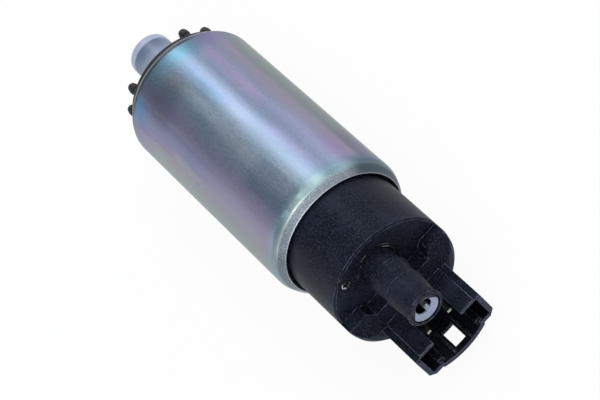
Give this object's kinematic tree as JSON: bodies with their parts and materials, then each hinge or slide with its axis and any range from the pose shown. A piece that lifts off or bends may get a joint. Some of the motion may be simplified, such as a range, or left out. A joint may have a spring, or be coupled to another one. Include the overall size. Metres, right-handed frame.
{
  "type": "fuel pump",
  "caption": "In-tank electric turbine fuel pump: crimped steel can, black end cover with barbed outlet nozzle and connector shroud, and a capped inlet nozzle with a knobbed rubber pad.",
  "frame": {"origin": "on the can's axis, halfway along the steel can", "axes": "+X along the can's axis to the outlet nozzle and connector end, +Z across the can away from the connector shroud, +Y completes a right-handed frame"},
  "size_m": [0.1176, 0.038, 0.038],
  "materials": {
    "zinc_plated_steel": "satin plated",
    "seal_rubber": "matte",
    "black_plastic": "matte",
    "tinned_brass": "bright tinned",
    "ferrite": "matte sintered",
    "copper_wire": "enamelled",
    "copper_bars": "turned",
    "inner_plastic": "matte",
    "sintered_bronze": "matte",
    "carbon": "ground carbon",
    "spring_steel": "bright",
    "ground_steel": "ground",
    "pad_rubber": "satin",
    "cap_plastic": "translucent",
    "valve_plastic": "matte",
    "white_plastic": "satin"
  },
  "bodies": {
    "pump": {"housing_can": "zinc_plated_steel", "cover_seal": "seal_rubber", "outlet_cover": "black_plastic", "terminal_positive": "tinned_brass", "terminal_negative": "tinned_brass", "choke_core_positive": "ferrite", "choke_core_negative": "ferrite", "choke_coil_positive": "copper_wire", "choke_coil_negative": "copper_wire", "brush_plate": "inner_plastic", "upper_bearing": "sintered_bronze", "lower_bearing": "sintered_bronze", "brush_spring_positive": "spring_steel", "brush_spring_negative": "spring_steel", "brush_lead_positive": "copper_wire", "brush_lead_negative": "copper_wire", "magnet_upper": "ferrite", "magnet_lower": "ferrite", "magnet_clip_right": "spring_steel", "magnet_clip_left": "spring_steel", "pump_casing": "inner_plastic", "inlet_cover": "black_plastic", "thrust_pad": "ground_steel", "damper_pad": "pad_rubber", "check_spring": "spring_steel", "check_retainer": "white_plastic", "relief_spring": "spring_steel"},
    "rotor": {"shaft": "ground_steel", "armature_core": "ground_steel", "armature_winding": "copper_wire", "commutator_hub": "inner_plastic", "commutator_segments": "copper_bars", "impeller": "inner_plastic"},
    "brush_right": {"brush_positive": "carbon"},
    "brush_left": {"brush_negative": "carbon"},
    "valve": {"check_valve": "valve_plastic"},
    "plunger": {"relief_plunger": "spring_steel"},
    "cap": {"inlet_cap": "cap_plastic"}
  },
  "joints": [
    {"name": "rotor_spin", "type": "hinge", "parent": "pump", "child": "rotor", "pos_m": [0, 0, 0], "axis": [1, 0, 0], "continuous": true},
    {"name": "brush_right_slide", "type": "slide", "parent": "pump", "child": "brush_right", "axis": [1, 0, 0], "range_m": [0, 0.002], "stiffness_N_per_m": 150, "springref_m": -0.005, "deforming": ["brush_spring_positive", "brush_lead_positive"]},
    {"name": "brush_left_slide", "type": "slide", "parent": "pump", "child": "brush_left", "axis": [1, 0, 0], "range_m": [0, 0.002], "stiffness_N_per_m": 150, "springref_m": -0.005, "deforming": ["brush_spring_negative", "brush_lead_negative"]},
    {"name": "check_valve_slide", "type": "slide", "parent": "pump", "child": "valve", "axis": [1, 0, 0], "range_m": [0, 0.0024], "stiffness_N_per_m": 60, "springref_m": -0.004, "deforming": ["check_spring"]},
    {"name": "relief_slide", "type": "slide", "parent": "pump", "child": "plunger", "axis": [1, 0, 0], "range_m": [0, 0.001], "stiffness_N_per_m": 800, "springref_m": -0.0021, "deforming": ["relief_spring"]},
    {"name": "cap_pull", "type": "slide", "parent": "pump", "child": "cap", "axis": [-1, 0, 0], "range_m": [0, 0.012]}
  ]
}
